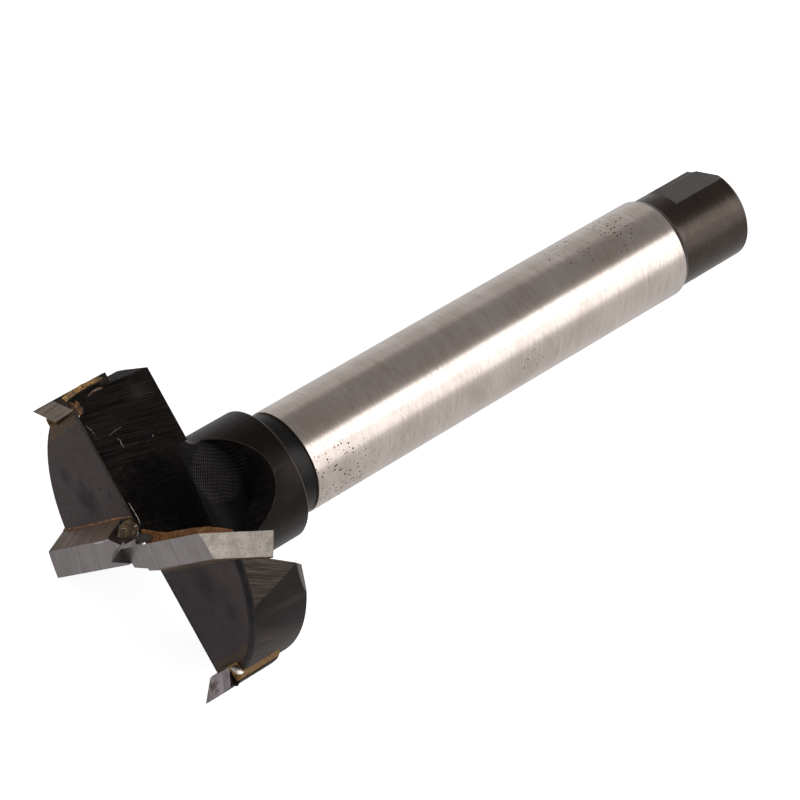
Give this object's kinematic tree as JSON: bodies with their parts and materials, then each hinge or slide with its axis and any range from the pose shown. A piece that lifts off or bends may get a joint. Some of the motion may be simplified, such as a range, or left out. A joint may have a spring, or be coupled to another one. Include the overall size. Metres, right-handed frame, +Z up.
{
  "type": "forstner bit",
  "caption": "Forstner-style hinge-cup bit with a straight steel shank, milled two-wing head, brazed carbide cutting plates, scoring spurs and a centre point.",
  "frame": {"origin": "on the floor, under the middle of the bit's bounding box as it lies", "axes": "+Z up from the floor, +X along the length from the cutting head to the tail, which lies on the floor; the bit's own axis leans 5.6 degrees up towards the head"},
  "size_m": [0.0894, 0.034, 0.0277],
  "materials": {
    "steel": "blackened head and tail, bright ground shank",
    "carbide": "ground carbide",
    "brass": "brazing brass, stained"
  },
  "bodies": {
    "root": {"body": "steel", "cutter_1": "carbide", "cutter_2": "carbide", "spur_1": "carbide", "spur_2": "carbide", "cutter_braze_1": "brass", "cutter_braze_2": "brass", "spur_braze_1": "brass", "spur_braze_2": "brass"}
  },
  "joints": []
}
